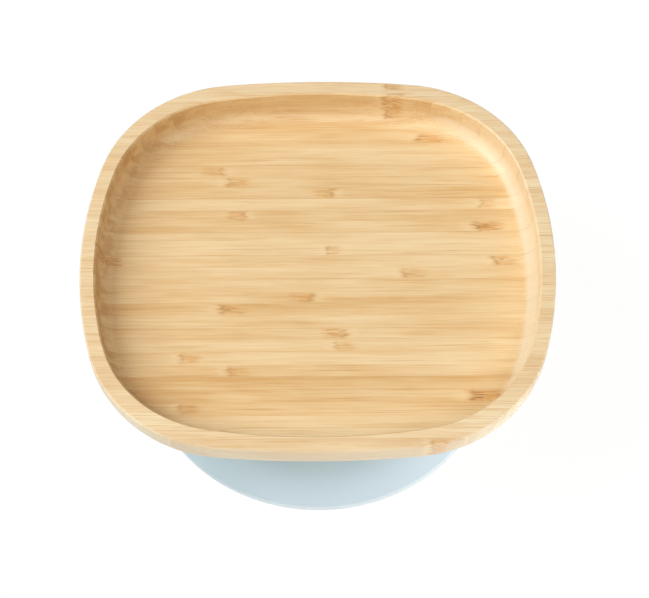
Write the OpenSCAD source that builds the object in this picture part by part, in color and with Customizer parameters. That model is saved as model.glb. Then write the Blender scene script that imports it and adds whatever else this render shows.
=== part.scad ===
// Toddler plate: a bamboo plate glued up from strips on edge, on a removable silicone suction cup.
// Millimetres, +Z up, front of the plate at -Y. The origin is on the table, under the middle of the plate.

/* [Plate] */
// Width of the plate, left to right
plate_w = 180; // [150:1:220]
// Depth of the plate, front to back
plate_d = 168; // [140:1:200]
// Thickness of the plate
plate_t = 18.5; // [16:0.5:26]
// Radius of the bulged left and right sides
side_r = 160; // [120:1:300]
// Radius of the bulged front and back
end_r = 400; // [260:10:800]
// Radius of the corners
corner_r = 54; // [45:1:62]
// Radius of the round that runs under the rim
under_r = 15; // [6:0.5:15]
// Chamfer on the sharp edges of the rim
rim_chamfer = 0.6; // [0.3:0.1:1]

/* [Well] */
// Width of the rim at the left and right
rim_side = 5.8; // [4:0.1:9]
// Width of the rim at the front and back
rim_end = 6.6; // [4:0.1:9]
// Depth of the well
well_depth = 13; // [8:0.5:14]
// Radius between the wall and the floor of the well
well_fillet = 6; // [3:0.5:7.5]
// Radius of the well's bulged left and right sides
well_side_r = 147; // [110:1:290]
// Radius of the well's bulged front and back
well_end_r = 250; // [200:10:790]
// Radius of the well's corners
well_corner_r = 48; // [40:1:60]

/* [Strips] */
// Thickness of one bamboo strip
strip_t = 5.4; // [4:0.01:8]

/* [Foot] */
// Diameter of the foot under the plate
foot_d = 92; // [76:1:104]
// Height of the foot
foot_h = 10; // [6:0.5:16]
// Chamfer on the lower edge of the foot
foot_chamfer = 1.5; // [0.5:0.1:3]

/* [Suction cup] */
// Height of the suction cup, from the table to the plate
cup_h = 56.5; // [40:0.5:70]
// Diameter of the lip on the table
lip_d = 142; // [130:1:165]
// Thickness of the lip at its edge
lip_t = 1.6; // [1:0.1:3]
// Thickness of the skirt
skirt_t = 3; // [2:0.1:5]
// Thickness of the wall round the socket
collar_t = 5; // [3:0.5:8]
// Straight height of the wall round the socket
collar_h = 9; // [6:0.5:14]
// Round on the upper outer edge of the wall round the socket
collar_round = 2; // [1:0.5:3]
// Thickness of the web between the socket and the chamber
web_t = 3; // [2:0.5:5]
// Radius of the domed ceiling of the chamber
dome_r = 140; // [90:5:300]

/* [Fits] */
// Radial clearance between the foot and the socket
socket_gap = 0.1; // [0.05:0.05:0.3]
// Clearance under the foot
seat_gap = 0.3; // [0.1:0.1:1]

/* [Hidden] */
$fn = 96;
sweep_fn = 360;
bamboo_tones = ["BurlyWood", "Wheat", "Tan"];
silicone_blue = [0.76, 0.86, 0.89];
past = 1;
seam_step = 0.05;
seam_lap = 1;
corner_in = 12;

rim_z = cup_h + plate_t;
floor_z = rim_z - well_depth;
half_w = plate_w / 2;
half_d = plate_d / 2;

strip_count = round(plate_d / strip_t);
stack_front = -strip_count * strip_t / 2;

foot_r = foot_d / 2;
socket_r = foot_r + socket_gap;
socket_z = cup_h - foot_h - seat_gap;
collar_r = socket_r + collar_t;
lip_r = lip_d / 2;

// The flare is one arc: upright where it leaves the collar, and it ends at the top of the lip's edge.
flare_z = cup_h - collar_h;
flare_run = lip_r - collar_r;
flare_drop = flare_z - lip_t;
flare_r = (pow(flare_run, 2) + pow(flare_drop, 2)) / (2 * flare_run);
flare_x = collar_r + flare_r;
chamber_top = socket_z - web_t;

function two_digits(i) = str(i < 10 ? "0" : "", i);
function strip_name(i) = str("bamboo_strip_", two_digits(i));

// An outline of eight arcs that run into each other is [half width, half depth, side, end, corner radius].
plate_outline = [half_w, half_d, side_r, end_r, corner_r];
well_outline = [half_w - rim_side, half_d - rim_end, well_side_r, well_end_r, well_corner_r];

// Centre of the corner arc in the +X +Y quarter: it touches the side arc and the end arc from inside.
function corner_centre(o) =
    let (side_c = [o[0] - o[2], 0])
    let (end_c = [0, o[1] - o[3]])
    let (side_reach = o[2] - o[4])
    let (end_reach = o[3] - o[4])
    let (span = norm(end_c - side_c))
    let (along = (pow(span, 2) + pow(side_reach, 2) - pow(end_reach, 2)) / (2 * span))
    let (across = sqrt(pow(side_reach, 2) - pow(along, 2)))
    let (dir = (end_c - side_c) / span)
    side_c + along * dir + across * [-dir[1], dir[0]];

// Direction of the line on which the side arc, or the end arc, runs into the corner arc.
function side_angle(o) = let (c = corner_centre(o)) atan2(c[1], c[0] - o[0] + o[2]);
function end_angle(o) = let (c = corner_centre(o)) atan2(c[1] - o[1] + o[3], c[0]);

// A section swept round an outline. The section is drawn from the radius $inner out to the outline at $outer.
// The body is what four whole turned discs, one for each big arc, have in common, with its corners cut off.
// Turned corners take their place. They run on under the body a hair lower, so that no turned faces coincide.
module swept(o) {
    difference() {
        intersection() {
            disc([o[0] - o[2], 0], o[2]) children();
            disc([o[2] - o[0], 0], o[2]) children();
            disc([0, o[1] - o[3]], o[3]) children();
            disc([0, o[3] - o[1]], o[3]) children();
        }
        for (turn = [0, 180], flip = [0, 1])
            corner_cut(o, turn, flip);
    }
    for (turn = [0, 180], flip = [0, 1])
        corner(o, turn, flip) children();
}

module disc(centre, $outer) {
    $inner = 0;
    translate(centre)
        rotate(atan2(centre[1], centre[0]))
            rotate_extrude($fn = sweep_fn)
                children();
}

module corner_cut(o, turn, flip) {
    ts = side_angle(o);
    te = end_angle(o);
    reach = 3 * o[4];
    rotate(turn)
        mirror([flip, 0])
            translate(corner_centre(o))
                linear_extrude(rim_z + 2 * past)
                    polygon([
                        corner_in * [cos(ts), sin(ts)],
                        reach * [cos(ts), sin(ts)],
                        reach * [cos(te), sin(te)],
                        corner_in * [cos(te), sin(te)]
                    ]);
}

module corner(o, turn, flip) {
    from = side_angle(o) - seam_lap;
    to = end_angle(o) + seam_lap;
    $inner = corner_in / 2;
    $outer = o[4] - seam_step;
    rotate(turn)
        mirror([flip, 0])
            translate(corner_centre(o))
                rotate(from)
                    rotate_extrude(angle = to - from, $fn = sweep_fn)
                        children();
}

// Section of the plate's edge: a short upright side over a round that runs under.
module plate_section() {
    round_x = $outer - under_r;
    side_low = cup_h + under_r;
    polygon([
        [$inner, cup_h],
        [round_x, cup_h],
        [round_x, side_low],
        [$outer, side_low],
        [$outer, rim_z - rim_chamfer],
        [$outer - rim_chamfer, rim_z],
        [$inner, rim_z]
    ]);
    intersection() {
        translate([round_x, side_low])
            circle(under_r);
        translate([round_x, cup_h])
            square(under_r);
    }
}

// Section of the well: an upright wall, a fillet and a flat floor.
module well_section() {
    fillet_x = $outer - well_fillet;
    wall_low = floor_z + well_fillet;
    polygon([
        [$inner, floor_z],
        [fillet_x, floor_z],
        [fillet_x, wall_low],
        [$outer, wall_low],
        [$outer, rim_z - rim_chamfer],
        [$outer + rim_chamfer + past, rim_z + past],
        [$inner, rim_z + past]
    ]);
    intersection() {
        translate([fillet_x, wall_low])
            circle(well_fillet);
        translate([fillet_x, floor_z])
            square(well_fillet);
    }
}

// The space between the glue lines on both sides of a strip. The front and back strips run to the edge.
module strip_slice(i) {
    front = i == 1 ? -half_d - past : stack_front + (i - 1) * strip_t;
    back = i == strip_count ? half_d + past : stack_front + i * strip_t;
    translate([-half_w - past, front, cup_h - past])
        cube([plate_w + 2 * past, back - front, plate_t + 3 * past]);
}

// One strip: its slice of the plate, less the well.
module bamboo_strip(i) {
    color(bamboo_tones[i % len(bamboo_tones)])
        difference() {
            intersection() {
                strip_slice(i);
                swept(plate_outline)
                    plate_section();
            }
            intersection() {
                strip_slice(i);
                swept(well_outline)
                    well_section();
            }
        }
}

// Round foot glued under the plate, which the suction cup is pushed onto.
module foot_disc() {
    foot_low = cup_h - foot_h;
    color("Peru")
        rotate_extrude()
            polygon([
                [0, foot_low],
                [foot_r - foot_chamfer, foot_low],
                [foot_r, foot_low + foot_chamfer],
                [foot_r, cup_h],
                [0, cup_h]
            ]);
}

// Half section of the suction cup: a socket above, a flared skirt and a domed chamber below.
module suction_cup_section() {
    difference() {
        square([lip_r, cup_h]);
        // outside of the flare and of the collar
        translate([flare_x, flare_z])
            circle(flare_r);
        translate([collar_r, flare_z])
            square([lip_r, collar_h + past]);
        // round on the top of the collar
        difference() {
            translate([collar_r - collar_round, cup_h - collar_round])
                square(collar_round + past);
            translate([collar_r - collar_round, cup_h - collar_round])
                circle(collar_round);
        }
        // socket for the foot
        translate([0, socket_z])
            square([socket_r, cup_h]);
        chamber_section();
    }
}

module chamber_section() {
    difference() {
        intersection() {
            translate([0, chamber_top - dome_r])
                circle(dome_r);
            translate([0, -past])
                square([lip_r, chamber_top + 2 * past]);
        }
        translate([flare_x, flare_z])
            circle(flare_r + skirt_t);
    }
}

module suction_cup() {
    color(silicone_blue)
        rotate_extrude()
            suction_cup_section();
}

for (i = [1:strip_count])
    bamboo_strip(i);
foot_disc();
suction_cup();
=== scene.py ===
import math

import bpy
import numpy as np
from mathutils import Matrix, Vector


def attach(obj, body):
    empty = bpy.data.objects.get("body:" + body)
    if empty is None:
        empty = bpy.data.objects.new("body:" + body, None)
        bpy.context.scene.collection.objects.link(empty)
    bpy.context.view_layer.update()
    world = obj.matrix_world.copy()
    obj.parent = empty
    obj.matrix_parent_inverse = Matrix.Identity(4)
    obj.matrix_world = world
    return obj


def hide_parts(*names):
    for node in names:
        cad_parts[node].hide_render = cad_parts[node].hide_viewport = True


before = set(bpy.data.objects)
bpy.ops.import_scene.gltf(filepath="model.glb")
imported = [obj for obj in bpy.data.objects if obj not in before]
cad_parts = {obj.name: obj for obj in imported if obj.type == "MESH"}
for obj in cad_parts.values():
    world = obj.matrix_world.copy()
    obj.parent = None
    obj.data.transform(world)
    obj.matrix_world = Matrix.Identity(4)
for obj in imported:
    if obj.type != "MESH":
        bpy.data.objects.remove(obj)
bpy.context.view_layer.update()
scene = bpy.context.scene
scene.view_settings.view_transform = "Standard"
print("frame loaded:", len(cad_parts), "nodes")

mm = 0.001
metresToMm = (1 / mm,) * 3
white = (1.0, 1.0, 1.0, 1.0)


def srgb(red, green, blue):  # a colour as it reads on screen, 0 to 255, as linear light
    parts = np.array([red, green, blue]) / 255
    linear = np.where(parts < 0.04045, parts / 12.92, ((parts + 0.055) / 1.055) ** 2.4)
    return (*linear.tolist(), 1.0)


# Camera: where the photograph was taken from, in metres and degrees; lens and sensor in millimetres.
shot = {
    "target": (0.00217, 0.02724, 0.0),
    "distance": 0.76961,
    "turn": 0.50,
    "height": 57.87,
    "roll": -0.73,
    "lens": 101.25,
    "sensor": 36,
}


def makeCamera():
    turn, height, roll = (math.radians(shot[key]) for key in ("turn", "height", "roll"))
    reach = math.cos(height)
    back = Vector((math.sin(turn) * reach, -math.cos(turn) * reach, math.sin(height)))
    right = (-back).cross(Vector((0, 0, 1))).normalized()
    up = right.cross(-back)
    rolledRight = math.cos(roll) * right + math.sin(roll) * up
    rolledUp = math.cos(roll) * up - math.sin(roll) * right
    aim = Matrix((rolledRight, rolledUp, back)).transposed().to_4x4()
    data = bpy.data.cameras.new("photoCamera")
    data.sensor_width = shot["sensor"]
    data.sensor_fit = "HORIZONTAL"
    data.lens = shot["lens"]
    camera = bpy.data.objects.new("photoCamera", data)
    camera.matrix_world = Matrix.Translation(Vector(shot["target"]) + back * shot["distance"]) @ aim
    scene.collection.objects.link(camera)
    scene.camera = camera


makeCamera()
print("camera set")


# Small helpers for shader trees.
def put(tree, kind, inputs=None, **settings):  # a new node; an input is a value or a socket to link from
    node = tree.nodes.new(kind)
    for key, value in settings.items():
        setattr(node, key, value)
    for key, value in (inputs or {}).items():
        if isinstance(value, bpy.types.NodeSocket):
            tree.links.new(value, node.inputs[key])
        else:
            node.inputs[key].default_value = value
    return node


def sums(tree, operation, a, b=None, c=None, clamp=False):  # one Math node
    given = {i: v for i, v in enumerate((a, b, c)) if v is not None}
    return put(tree, "ShaderNodeMath", given, operation=operation, use_clamp=clamp).outputs[0]


def times(tree, first, *others):  # the product of all
    for other in others:
        first = sums(tree, "MULTIPLY", first, other)
    return first


def addTo(tree, base, value, share):  # base + share * value
    return sums(tree, "MULTIPLY_ADD", value, share, base)


def centred(tree, noise):  # noise about 0 instead of 0.5
    return sums(tree, "SUBTRACT", noise, 0.5)


def vectors(tree, operation, a, b):  # one Vector Math node
    return put(tree, "ShaderNodeVectorMath", {0: a, 1: b}, operation=operation).outputs


def ease(tree, value, low, high, start=0.0, end=1.0):  # smooth step from start at low to end at high
    given = {"Value": value, "From Min": low, "From Max": high, "To Min": start, "To Max": end}
    return put(tree, "ShaderNodeMapRange", given, interpolation_type="SMOOTHSTEP").outputs["Result"]


def blendIn(tree, amount, below, above):  # one colour over another
    given = {0: amount, 6: below, 7: above}  # factor and the two colour sockets of a Mix node
    return put(tree, "ShaderNodeMix", given, data_type="RGBA", blend_type="MIX").outputs[2]


def newGroup(name, takes, gives):
    group = bpy.data.node_groups.new(name, "ShaderNodeTree")
    for direction, sockets in (("INPUT", takes), ("OUTPUT", gives)):
        for socketName, kind, value in sockets:
            socket = group.interface.new_socket(socketName, in_out=direction, socket_type="NodeSocket" + kind)
            if value is not None:
                socket.default_value = value
    return group, group.nodes.new("NodeGroupInput").outputs, group.nodes.new("NodeGroupOutput").inputs


# Bamboo: fibres run along X. Lengths in the tree are millimetres.
bamboo = {
    "pale": srgb(246, 222, 176),
    "straw": srgb(237, 205, 153),
    "amber": srgb(219, 174, 110),
    "fibre": srgb(186, 133, 74),
    "glue": srgb(196, 150, 94),
    "smudge": srgb(221, 162, 86),  # of a knuckle
    "knuckle": srgb(168, 112, 58),
    "rim": srgb(255, 245, 218),
    # painted reflection of the floor's light on the outer side
    "outer": srgb(206, 208, 194),
    # pale cut ends, also a painted highlight on the well's right wall and its fillet
    "ends": srgb(238, 222, 192),
    "strawTone": 0.42,  # tone at which the colour is straw, between pale 0 and amber 1
    "toneShares": {"bands": 0.75, "drift": 0.9, "fine": 1.35},  # how much each noise moves the tone
    "skinTone": 0.12,
    # painted light: the tone grows paler to the right, where more light falls
    "paintedLightToRight": -0.0008,  # change of tone per mm to the right
    "swayReach": 1.2,  # mm that the fibres wander
    "threadShare": 0.42,
    "paleShare": 0.30,
    "endsRagged": 0.5,
    "endsShare": 0.75,
    "rimShare": 0.26,
    "rimStreaks": 0.6,
    "threadDent": -0.6,
    "seamDent": -0.5,
    "roughness": 0.46,
    "roughnessSpread": 0.16,
    "coat": 0.3,
    "coatRoughness": 0.42,
    "bump": 0.22,
    "bumpHeight": 0.0002,
}

# Noises of the grain: waves per mm along and across the fibres, detail, roughness, shift of the seed.
grain = {
    "sway": (0.022, 0.12, 1, 0.5, 29.1),
    "fine": (0.046, 4.5, 3, 0.68, 0.0),
    "threads": (0.021, 1.9, 2, 0.55, 17.3),
    "bands": (0.013, 0.42, 2, 0.5, 41.7),
    "drift": (0.032, 0.16, 2, 0.5, 73.9),
    "dots": (0.9, 2.6, 2, 0.6, 57.7),
    "flecks": (0.055, 2.4, 2, 0.6, 91.3),
    "wobble": (0.05, 0.75, 2, 0.5, 0.0),
    "patch": (0.14, 1.1, 2, 0.55, 9.0),
    "streak": (0.16, 2.1, 2, 0.6, 5.0),
}

# Where an effect starts and where it is full, and its amounts there if they aren't 0 and 1.
masks = {
    "skin": (0.45, 1.0),  # share of the strip's thickness
    "thread": (0.56, 0.74),
    "threadBreaks": (0.35, 0.6),
    "paleThread": (0.42, 0.26),
    # the next two: pale cut ends on faces that look left, a painted highlight on the well's right wall and
    # fillet
    "filletEndsHighlight": (-0.15, -0.45),  # sideways part of the direction that a face looks in
    "wallEndsHighlight": (-0.3, -0.8, 0.0, 0.7),
    # painted shade: dark cut ends on faces that look right, the well's left wall
    "leftWall": (0.2, 0.6),
    "fillet": (69.5, 66.0),  # height in mm, about the top of the well's fillet
    "inward": (0.0, -20.0),
    "outward": (15.0, 50.0),
    # dark blocks of cut ends, partly painted shade on the well's left wall
    "endBlocksAndShade": (0.44, 0.58, 0.08, 0.36),
    "dots": (0.4, 0.65, 0.0, 0.5),
    "sideOn": (0.95, 0.6, 0.0, 0.5),  # upward part of the direction that a face looks in
    "topOn": (0.75, 0.95),
    "rimHeight": (74.0, 74.5),  # in mm, just under the top
    "flecks": (0.50, 0.66),
    "seam": (0.075, 0.02),  # share of the strip's thickness
}


def grainNoise(tree, kind, place, seed):  # noise that is stretched along the fibres
    along, across, detail, roughness, shift = grain[kind]
    start = sums(tree, "ADD", seed, shift)
    offset = put(tree, "ShaderNodeCombineXYZ", {"X": start, "Y": start, "Z": start}).outputs[0]
    stretched = vectors(tree, "MULTIPLY", place, (along, across, across))[0]
    moved = vectors(tree, "ADD", stretched, offset)[0]
    given = {"Vector": moved, "Scale": 1.0, "Detail": detail, "Roughness": roughness}
    return put(tree, "ShaderNodeTexNoise", given).outputs["Fac"]


def makeFibreGroup():
    # tone = the strip's own + slow bands and drift + fine fibres + skin side + change to the right, painted
    # light
    #     # that makes the right side paler
    takes = [
        ("Place", "Vector", None), ("Facing", "Vector", None), ("Tone", "Float", 0.4), ("Seed", "Float", 0.0),
        ("Across", "Float", 0.5), ("Front", "Float", 0.5), ("Seam", "Float", 0.25),
        ("Seam Color", "Color", bamboo["glue"]),
    ]
    gives = [("Color", "Color", None), ("Height", "Float", None), ("Roughness", "Float", None)]
    tree, given, out = newGroup("bambooFibre", takes, gives)
    spot, seed = given["Place"], given["Seed"]
    spots = put(tree, "ShaderNodeSeparateXYZ", {0: spot}).outputs
    faces = put(tree, "ShaderNodeSeparateXYZ", {0: given["Facing"]}).outputs
    sway = times(tree, grainNoise(tree, "sway", spot, seed), bamboo["swayReach"])
    place = vectors(tree, "ADD", spot, put(tree, "ShaderNodeCombineXYZ", {"Y": sway}).outputs[0])[0]
    kinds = ("fine", "threads", "bands", "drift", "dots", "flecks")
    fine, threads, bands, drift, dots, flecks = (grainNoise(tree, kind, place, seed) for kind in kinds)

    def mask(value, name):
        return ease(tree, value, *masks[name])

    tone = given["Tone"]
    for noise, kind in ((bands, "bands"), (drift, "drift"), (fine, "fine")):
        tone = addTo(tree, tone, centred(tree, noise), bamboo["toneShares"][kind])
    tone = addTo(tree, tone, mask(given["Across"], "skin"), bamboo["skinTone"])  # denser near the cane's skin
    # painted light: paler towards the right
    tone = addTo(tree, tone, spots["X"], bamboo["paintedLightToRight"])
    ramp = put(tree, "ShaderNodeValToRGB", {"Fac": tone})
    ramp.color_ramp.elements[0].color = bamboo["pale"]
    ramp.color_ramp.elements[1].color = bamboo["amber"]
    ramp.color_ramp.elements.new(bamboo["strawTone"]).color = bamboo["straw"]

    # dark threads where a stretched noise peaks, broken by the fine fibres, and pale ones where it is lowest
    thread = times(tree, mask(threads, "thread"), mask(fine, "threadBreaks"))
    color = blendIn(tree, times(tree, thread, bamboo["threadShare"]), ramp.outputs["Color"], bamboo["fibre"])
    color = blendIn(tree, times(tree, mask(threads, "paleThread"), bamboo["paleShare"]), color, bamboo["pale"])

    # how far a face looks away from the middle: below 0 on the walls of the well, above 0 on the outer side
    flat = vectors(tree, "MULTIPLY", spot, (1, 1, 0))[0]
    outward = vectors(tree, "DOT_PRODUCT", flat, given["Facing"])["Value"]

    # cut ends of the fibres, partly painted light: dark blocks where a face looks right, painted shade on the
    # well's left wall; pale where the well's wall looks left, a painted highlight, most of all in the fillet
    # below that wall
    facing = addTo(tree, faces["X"], centred(tree, fine), bamboo["endsRagged"])
    # painted shade: dark blocks on the well's left wall, which looks away from the lamp
    color = blendIn(tree, times(tree, mask(facing, "leftWall"), mask(drift, "endBlocksAndShade")), color, bamboo["fibre"])
    # painted highlight: the well's right wall and its fillet, which face the lamp, are painted paler
    endsHighlightMask = times(tree, mask(facing, "filletEndsHighlight"), mask(spots["Z"], "fillet"))
    endsHighlightMask = sums(tree, "MAXIMUM", endsHighlightMask, mask(facing, "wallEndsHighlight"))
    ends = blendIn(tree, mask(dots, "dots"), bamboo["ends"], bamboo["straw"])
    color = blendIn(tree, times(tree, endsHighlightMask, mask(outward, "inward"), bamboo["endsShare"]), color, ends)

    # painted light: the outer side and its chamfer are painted paler and greyer, a painted reflection of the
    # white floor's light; the flat top is paler
    outer = times(tree, mask(outward, "outward"), mask(faces["Z"], "sideOn"))
    color = blendIn(tree, outer, color, bamboo["outer"])
    rim = times(tree, mask(spots["Z"], "rimHeight"), mask(faces["Z"], "topOn"))
    color = blendIn(tree, times(tree, rim, bamboo["rimShare"]), color, bamboo["rim"])
    streaks = times(tree, mask(flecks, "flecks"), rim, bamboo["rimStreaks"])
    color = blendIn(tree, streaks, color, bamboo["amber"])

    seam = mask(given["Front"], "seam")  # the glue line along the front of the strip
    color = blendIn(tree, times(tree, seam, given["Seam"]), color, given["Seam Color"])
    tree.links.new(color, out["Color"])
    relief = addTo(tree, fine, thread, bamboo["threadDent"])
    tree.links.new(addTo(tree, relief, seam, bamboo["seamDent"]), out["Height"])
    spread = bamboo["roughnessSpread"]
    tree.links.new(addTo(tree, bamboo["roughness"] - spread / 2, fine, spread), out["Roughness"])
    return tree


# Knuckles, the joints of the cane. Places and ranges are shares of a knuckle's length, unless a note says mm.
knuckle = {
    "wander": 7.0,  # mm that its edge wanders
    "change": (-1.5, 1.5),  # mm over which the tone changes
    "bell": (1.15, 0.35),
    "frontLean": (0.02, 0.35, 0.15, 1.0),  # over the strip's thickness
    "backLean": (1.0, 0.8),
    "patch": (0.30, 0.58),
    "streak": (0.52, 0.66),
    "line": (-0.55, 45.0),  # place and sharpness
    "glint": (-1.05, 7.0),
    "glintLimit": 0.6,
    "layers": (("Smudge", 0.64, "smudge"), ("Dashes", 0.62, "knuckle"), ("Glint", 0.6, "pale")),
    "dent": -0.6,
}


def makeKnuckleGroup():
    # over X: an amber patch from -1 to 1 of its length, a broken dark line near one end, dashes on it,
    # and a pale spot beside it
    takes = [
        ("Place", "Vector", None), ("At", "Float", 0.0), ("Strength", "Float", 0.6), ("Length", "Float", 5.0),
        ("Across", "Float", 0.5),
    ]
    gives = [(name, "Float", None) for name in ("Smudge", "Dashes", "Glint", "Beyond")]
    tree, given, out = newGroup("bambooKnuckle", takes, gives)
    place, at, strength, length, across = (given[name] for name, kind, value in takes)
    wobble, patch, streak = (grainNoise(tree, kind, place, at) for kind in ("wobble", "patch", "streak"))
    along = sums(tree, "SUBTRACT", put(tree, "ShaderNodeSeparateXYZ", {0: place}).outputs["X"], at)
    along = addTo(tree, along, centred(tree, wobble), knuckle["wander"])
    ratio = sums(tree, "DIVIDE", along, length)

    def peak(centre, sharpness):  # exp(-sharpness * (ratio - centre)^2)
        beside = sums(tree, "SUBTRACT", ratio, centre)
        return sums(tree, "EXPONENT", times(tree, beside, beside, -sharpness))

    bell = ease(tree, sums(tree, "ABSOLUTE", ratio), *knuckle["bell"])
    lean = times(tree, ease(tree, across, *knuckle["frontLean"]), ease(tree, across, *knuckle["backLean"]))
    patch = ease(tree, patch, *knuckle["patch"])
    streak = ease(tree, streak, *knuckle["streak"])
    dashes = sums(tree, "MAXIMUM", times(tree, bell, streak), times(tree, peak(*knuckle["line"]), patch))
    softStrength = sums(tree, "MINIMUM", strength, knuckle["glintLimit"])
    tree.links.new(times(tree, bell, lean, patch, strength), out["Smudge"])
    tree.links.new(times(tree, dashes, lean, strength), out["Dashes"])
    tree.links.new(times(tree, peak(*knuckle["glint"]), lean, softStrength), out["Glint"])
    tree.links.new(ease(tree, along, *knuckle["change"]), out["Beyond"])
    return tree


fibreGroup = makeFibreGroup()
knuckleGroup = makeKnuckleGroup()
seamKinds = {  # colour and share of a glue line
    "plain": (bamboo["glue"], 0.12),
    "dark": (bamboo["knuckle"], 0.26),
    "pale": (bamboo["pale"], 0.55),
}


def bambooMaterial(name, tone, seed, front, depth, knuckles=(), seam="plain", flip=False):
    material = bpy.data.materials.new(name)
    material.use_nodes = True
    tree = material.node_tree
    shader = tree.nodes["Principled BSDF"]
    coords = put(tree, "ShaderNodeTexCoord").outputs
    place = vectors(tree, "MULTIPLY", coords["Object"], metresToMm)[0]
    depthwise = put(tree, "ShaderNodeSeparateXYZ", {0: place}).outputs["Y"]
    span = {"Value": depthwise, "From Min": front, "From Max": front + depth}
    fromFront = put(tree, "ShaderNodeMapRange", span).outputs["Result"]
    across = sums(tree, "SUBTRACT", 1.0, fromFront) if flip else fromFront
    seamColor, seamShare = seamKinds[seam]
    fibre = put(tree, "ShaderNodeGroup", node_tree=fibreGroup)
    linked = (("Place", place), ("Facing", coords["Normal"]), ("Across", across), ("Front", fromFront))
    for key, value in linked:
        tree.links.new(value, fibre.inputs[key])
    for key, value in (("Tone", tone), ("Seed", seed), ("Seam Color", seamColor), ("Seam", seamShare)):
        fibre.inputs[key].default_value = value
    color, height = fibre.outputs["Color"], fibre.outputs["Height"]
    for at, strength, length, change in knuckles:
        joint = put(tree, "ShaderNodeGroup", node_tree=knuckleGroup)
        tree.links.new(place, joint.inputs["Place"])
        tree.links.new(across, joint.inputs["Across"])
        for key, value in (("At", at), ("Strength", strength), ("Length", length)):
            joint.inputs[key].default_value = value
        if change:
            tree.links.new(addTo(tree, tone, joint.outputs["Beyond"], change), fibre.inputs["Tone"])
        for key, share, tint in knuckle["layers"]:
            amount = sums(tree, "MULTIPLY", joint.outputs[key], share, clamp=True)
            color = blendIn(tree, amount, color, bamboo[tint])
        height = addTo(tree, height, joint.outputs["Dashes"], knuckle["dent"])
    relief = {"Strength": bamboo["bump"], "Distance": bamboo["bumpHeight"], "Height": height}
    tree.links.new(put(tree, "ShaderNodeBump", relief).outputs["Normal"], shader.inputs["Normal"])
    tree.links.new(color, shader.inputs["Base Color"])
    tree.links.new(fibre.outputs["Roughness"], shader.inputs["Roughness"])
    shader.inputs["Coat Weight"].default_value = bamboo["coat"]
    shader.inputs["Coat Roughness"].default_value = bamboo["coatRoughness"]
    return material


# Strips, front to back: tone from pale 0 to amber 1, seams that stand out, and knuckles as (mm right of
# the middle, strength, length in mm, change of tone to the right of it). A knuckle's pale spot is at its
# left, or at its right if the length is below 0.
strips = {
    "thickness": 5.4,
    "seedStep": 7.13,
    # Strips 3 and 4 are painted paler, and strips 28 to 30 a little paler: painted light against the shade
    # near the front and back walls of the well.
    "tones": [
        0.66, 0.40, 0.05, 0.30, 0.50, 0.66, 0.60, 0.50, 0.40, 0.34, 0.50, 0.40, 0.50, 0.44, 0.40, 0.32,
        0.36, 0.26, 0.26, 0.42, 0.37, 0.32, 0.46, 0.46, 0.44, 0.38, 0.36, 0.47, 0.46, 0.46, 0.36,
    ],
    "seams": {
        2: "pale", 7: "dark", 8: "dark", 9: "pale", 12: "pale",
        18: "dark", 20: "dark", 23: "dark", 26: "dark",
    },
    "knuckles": {
        1: [(43, 0.7, 4, 0)],
        3: [(-34, 0.5, 2.5, 0)],
        5: [(-48, 0.7, 5, 0)],
        6: [(62, 1.3, 8, 0)],
        8: [(-30, 0.8, 6, 0)],
        9: [(-48, 0.7, 5, -0.1)],
        10: [(10, 0.6, 5, 0)],
        11: [(7, 0.9, -6, 0)],
        13: [(-33, 0.9, 7, 0)],
        14: [(-6, 0.8, -6, 0.15)],
        16: [(36, 0.6, 6, 0)],
        17: [(-80, 1.0, 5, 0), (72, 0.9, 6, 0)],
        18: [(6, 0.6, 3.5, 0)],
        20: [(66, 1.2, 7, 0)],
        21: [(-32, 0.7, -5, 0.15)],
        22: [(66, 0.6, 4, 0)],
        23: [(3, 0.8, -5, 0.12)],
        24: [(-32, 0.8, 6, 0)],
        25: [(-41, 0.7, -6, 0)],
        28: [(45, 0.9, 7, 0)],
        30: [(30, 0.8, 5, 0)],
        31: [(30, 0.7, 5, 0)],
    },
}


def dress(nodeName, material):
    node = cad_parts[nodeName]
    node.data.materials.clear()
    node.data.materials.append(material)


def dressStrips():
    count, depth = len(strips["tones"]), strips["thickness"]
    for i, tone in enumerate(strips["tones"], 1):
        front = (i - 1 - count / 2) * depth
        knuckles = strips["knuckles"].get(i, ())
        seam = strips["seams"].get(i, "plain")
        flip = i % 2 == 0  # every other strip has its skin side to the front
        seed = i * strips["seedStep"]
        material = bambooMaterial(f"bambooStrip{i:02d}", tone, seed, front, depth, knuckles, seam, flip)
        dress(f"bamboo_strip_{i:02d}", material)


dressStrips()
print("strips dressed")

# Foot: the hidden round under the plate.
foot = {"tone": 0.5, "seed": 311.0, "depth": 92.0}
dress("foot_disc", bambooMaterial("bambooFoot", foot["tone"], foot["seed"], -foot["depth"] / 2, foot["depth"]))
print("foot dressed")

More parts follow.
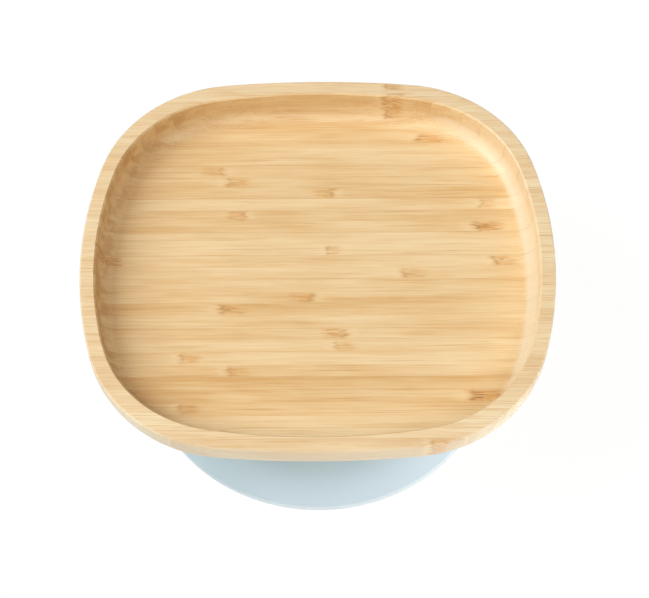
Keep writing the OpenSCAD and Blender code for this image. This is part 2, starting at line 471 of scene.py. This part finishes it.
# Suction cup: one moulding, turned about Z. Sizes in millimetres, the same as the solid's.
cup = {
    "height": 56.5,
    "collarRadius": 51.1,
    "collarHeight": 9.0,
    "collarRound": 2.0,
    "collarRing": 5.0,  # extra ring of points below the top, outside
    "socketRadius": 46.1,
    "socketFloor": 46.2,
    "socketRing": 6.0,  # extra ring below the top, inside
    "floorRing": 2.0,  # extra ring on the socket's floor, from its wall
    "lipRadius": 71.0,
    "lipEdge": 1.6,
    "lipFlat": 1.8,
    "lipArc": (60, -90),  # degrees of the rounded edge of the lip
    "skirt": 3.0,
    "dome": 140.0,
    "domeTop": 43.2,
    "soft": 0.45,  # eased edges of the moulding
    "steps": {"turn": 256, "soft": 6, "collar": 12, "flare": 72, "lip": 14, "inside": 48, "dome": 28},
    "creaseAngle": 40,
}
silicone = {
    "color": srgb(172, 194, 203),
    "shade": srgb(165, 186, 195),
    # painted light: paler colour of the low skirt, which the plate above doesn't shade
    "paintedLightSkirt": srgb(192, 213, 228),
    # painted highlight along the lip's rounded edge
    "bead": srgb(236, 244, 248),
    "cloud": {"Scale": 45.0, "Detail": 3.0, "Roughness": 0.5},
    "speck": {"Scale": 2600.0, "Detail": 2.0, "Roughness": 0.5},
    "shadeOn": (0.35, 0.75, 0.0, 0.5),  # noise range and shares
    "paintedLightBelow": (20.0, 3.0),  # heights in mm
    "paintedLightFrom": (-48.0, -8.0),  # mm right of the middle
    "lipHighlightUnder": (2.6, 1.7),
    "lipHighlightOver": (0.5, 0.9),
    "lipHighlightFrom": (-50.0, 0.0, 0.35, 1.0),
    "lipHighlightShare": 0.4,
    "roughness": 0.5,
    "roughnessSpread": 0.14,
    "bump": 0.06,
    "bumpHeight": 0.0001,
}


def arc(centre, radius, start, end, steps):  # points on a circle, from one angle in degrees to another
    angle = np.radians(np.linspace(start, end, steps))
    return np.stack([centre[0] + radius * np.cos(angle), centre[1] + radius * np.sin(angle)], axis=1)


def cupProfile():
    # up the socket, over the collar, down the flare (one arc, upright at the collar), round the lip,
    # up the inside of the skirt and back under the dome
    top, socket, floor = cup["height"], cup["socketRadius"], cup["socketFloor"]
    collar, edge, soft, lip = cup["collarRadius"], cup["collarRound"], cup["soft"], cup["lipRadius"]
    steps = cup["steps"]
    flareTop = top - cup["collarHeight"]
    run, drop = lip - collar, flareTop - cup["lipEdge"]
    flare = (run ** 2 + drop ** 2) / (2 * run)
    inner = flare + cup["skirt"]
    centre = (collar + flare, flareTop)
    lipAngle = 180 + math.degrees(math.asin(drop / flare))
    foldAngle = 180 + math.degrees(math.asin(flareTop / inner))
    domeCentre = (0.0, cup["domeTop"] - cup["dome"])
    span = math.hypot(centre[0], centre[1] - domeCentre[1])  # the skirt's inside meets the dome: two circles
    along = (span ** 2 + cup["dome"] ** 2 - inner ** 2) / (2 * span)
    across = math.sqrt(cup["dome"] ** 2 - along ** 2)
    way = np.array([centre[0], centre[1] - domeCentre[1]]) / span
    meet = np.array(domeCentre) + along * way + across * np.array([-way[1], way[0]])
    meetAngle = 180 - math.degrees(math.asin((meet[1] - flareTop) / inner))
    domeAngle = math.degrees(math.atan2(meet[1] - domeCentre[1], meet[0]))
    bead = cup["lipEdge"] / 2
    parts = [
        np.array([[0.0, floor], [socket / 2, floor], [socket - cup["floorRing"], floor]]),
        arc((socket - soft, floor + soft), soft, -90, 0, steps["soft"]),
        np.array([[socket, top - cup["socketRing"]]]),
        arc((socket + soft, top - soft), soft, 180, 90, steps["soft"]),
        arc((collar - edge, top - edge), edge, 90, 0, steps["collar"]),
        np.array([[collar, top - cup["collarRing"]]]),
        arc(centre, flare, 180, lipAngle, steps["flare"])[:-1],
        arc((lip - bead, bead), bead, *cup["lipArc"], steps["lip"]),
        np.array([[lip - cup["lipFlat"], 0.0]]),
        arc(centre, inner, foldAngle, meetAngle, steps["inside"]),
        arc(domeCentre, cup["dome"], domeAngle, 90, steps["dome"])[1:],
    ]
    profile = np.concatenate(parts)
    profile[-1, 0] = 0.0  # the last point lies on the axis
    return profile


def turnedMesh(name, profile, steps):
    # point (i, j) = point i of the profile, turned about Z by j of the steps; its ends are single points
    ring = profile[1:-1]
    rows = len(ring)
    angle = np.linspace(0, 2 * np.pi, steps, endpoint=False)
    x = ring[:, :1] * np.cos(angle)
    y = ring[:, :1] * np.sin(angle)
    z = np.repeat(ring[:, 1:], steps, axis=1)
    poles = [[0, 0, profile[0, 1]], [0, 0, profile[-1, 1]]]
    points = np.concatenate([np.stack([x, y, z], axis=2).reshape(-1, 3), poles]) * mm
    here = np.arange(rows * steps).reshape(rows, steps)
    after = np.roll(here, -1, axis=1)
    quads = np.stack([here[1:], after[1:], after[:-1], here[:-1]], axis=2).reshape(-1, 4)
    first, last = np.full(steps, rows * steps), np.full(steps, rows * steps + 1)
    startFan = np.stack([here[0], after[0], first], axis=1)
    endFan = np.stack([after[-1], here[-1], last], axis=1)
    mesh = bpy.data.meshes.new(name)
    mesh.from_pydata(points.tolist(), [], quads.tolist() + startFan.tolist() + endFan.tolist())
    mesh.polygons.foreach_set("use_smooth", np.ones(len(mesh.polygons), bool))
    mesh.update()
    return mesh


def siliconeMaterial():
    material = bpy.data.materials.new("paleBlueSilicone")
    material.use_nodes = True
    tree = material.node_tree
    shader = tree.nodes["Principled BSDF"]
    spot = put(tree, "ShaderNodeTexCoord").outputs["Object"]
    place = put(tree, "ShaderNodeSeparateXYZ", {0: vectors(tree, "MULTIPLY", spot, metresToMm)[0]}).outputs
    cloud = put(tree, "ShaderNodeTexNoise", {"Vector": spot, **silicone["cloud"]}).outputs["Fac"]
    speck = put(tree, "ShaderNodeTexNoise", {"Vector": spot, **silicone["speck"]}).outputs["Fac"]
    color = blendIn(tree, ease(tree, cloud, *silicone["shadeOn"]), silicone["color"], silicone["shade"])

    def mask(axis, name):
        return ease(tree, place[axis], *silicone[name])

    paintedLightSkirt = times(tree, mask("Z", "paintedLightBelow"), mask("X", "paintedLightFrom"))
    color = blendIn(tree, paintedLightSkirt, color, silicone["paintedLightSkirt"])  # painted light: the low skirt, clear of the plate's shade, is painted paler, more so at the right
    # painted highlight: a pale line along the lip's rounded edge, weaker towards the left
    bead = times(tree, mask("Z", "lipHighlightUnder"), mask("Z", "lipHighlightOver"), mask("X", "lipHighlightFrom"))
    color = blendIn(tree, times(tree, bead, silicone["lipHighlightShare"]), color, silicone["bead"])
    tree.links.new(color, shader.inputs["Base Color"])
    spread = silicone["roughnessSpread"]
    tree.links.new(addTo(tree, silicone["roughness"] - spread / 2, cloud, spread), shader.inputs["Roughness"])
    relief = {"Strength": silicone["bump"], "Distance": silicone["bumpHeight"], "Height": speck}
    tree.links.new(put(tree, "ShaderNodeBump", relief).outputs["Normal"], shader.inputs["Normal"])
    return material


def makeCup():
    mesh = turnedMesh("suctionCup", cupProfile(), cup["steps"]["turn"])
    mesh.set_sharp_from_angle(angle=math.radians(cup["creaseAngle"]))
    mesh.materials.append(siliconeMaterial())
    piece = bpy.data.objects.new("suctionCup", mesh)
    scene.collection.objects.link(piece)
    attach(piece, "suction_base")
    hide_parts("suction_cup")


makeCup()
print("suction cup turned")

# Studio: a white floor that stays white to the camera, a large soft lamp at the left, a smaller one in
# front, a low card at the right and a faint sky.
studio = {
    "floorReach": 3.0,
    "floorLevel": -0.0004,
    "floorWhite": 0.9,
    "floorRoughness": 0.9,
    "floorSpecular": 0.1,
    "glow": 1.04,
    "glowShare": 0.9,
    "sky": 0.25,
    "aim": (0.0, 0.0, 0.05),
    "lamps": [  # name, place in metres, width and height in metres, watts, colour
        ("keyLeft", (-1.85, -0.1, 1.72), 2.0, 2.0, 55.0, (0.98, 0.99, 1.0)),
        ("frontRight", (0.42, -1.0, 1.5), 1.0, 1.0, 12.5, (1.0, 0.88, 0.76)),
        ("cardLow", (0.8, -0.3, 0.036), 0.5, 0.065, 4.4, (1.0, 1.0, 1.0)),
    ],
}


def floorMaterial():
    material = bpy.data.materials.new("whiteFloor")
    material.use_nodes = True
    tree = material.node_tree
    shader = tree.nodes["Principled BSDF"]
    shader.inputs["Base Color"].default_value = (studio["floorWhite"],) * 3 + (1.0,)
    shader.inputs["Roughness"].default_value = studio["floorRoughness"]
    shader.inputs["Specular IOR Level"].default_value = studio["floorSpecular"]
    glow = put(tree, "ShaderNodeEmission", {"Color": white, "Strength": studio["glow"]})
    path = put(tree, "ShaderNodeLightPath").outputs
    seen = sums(tree, "MAXIMUM", path["Is Camera Ray"], path["Is Glossy Ray"])
    seen = sums(tree, "MAXIMUM", seen, path["Is Transmission Ray"])
    given = {0: times(tree, seen, studio["glowShare"]), 1: shader.outputs[0], 2: glow.outputs[0]}
    mixed = put(tree, "ShaderNodeMixShader", given)
    tree.links.new(mixed.outputs[0], tree.nodes["Material Output"].inputs["Surface"])
    return material


def makeFloor():
    reach, level = studio["floorReach"], studio["floorLevel"]
    corners = [(-reach, -reach, level), (reach, -reach, level), (reach, reach, level), (-reach, reach, level)]
    mesh = bpy.data.meshes.new("whiteFloor")
    mesh.from_pydata(corners, [], [(0, 1, 2, 3)])
    mesh.materials.append(floorMaterial())
    floor = bpy.data.objects.new("whiteFloor", mesh)
    scene.collection.objects.link(floor)


def makeSky():  # white where the camera sees it, and a low level of light on the object
    world = bpy.data.worlds.new("paleSky")
    world.use_nodes = True
    tree = world.node_tree
    sky = tree.nodes["Background"]
    sky.inputs["Color"].default_value = white
    path = put(tree, "ShaderNodeLightPath").outputs
    seen = sums(tree, "MAXIMUM", path["Is Camera Ray"], path["Is Transmission Ray"])
    strength = put(tree, "ShaderNodeMapRange", {"Value": seen, "To Min": studio["sky"], "To Max": 1.0})
    tree.links.new(strength.outputs["Result"], sky.inputs["Strength"])
    scene.world = world


def makeLamps():
    for name, spot, width, height, power, tint in studio["lamps"]:
        data = bpy.data.lights.new(name, "AREA")
        data.shape = "RECTANGLE"
        data.size, data.size_y = width, height
        data.energy = power
        data.color = tint
        lamp = bpy.data.objects.new(name, data)
        lamp.location = spot
        lamp.rotation_euler = (Vector(studio["aim"]) - Vector(spot)).to_track_quat("-Z", "Y").to_euler()
        scene.collection.objects.link(lamp)


makeFloor()
makeSky()
makeLamps()
print("studio lit")
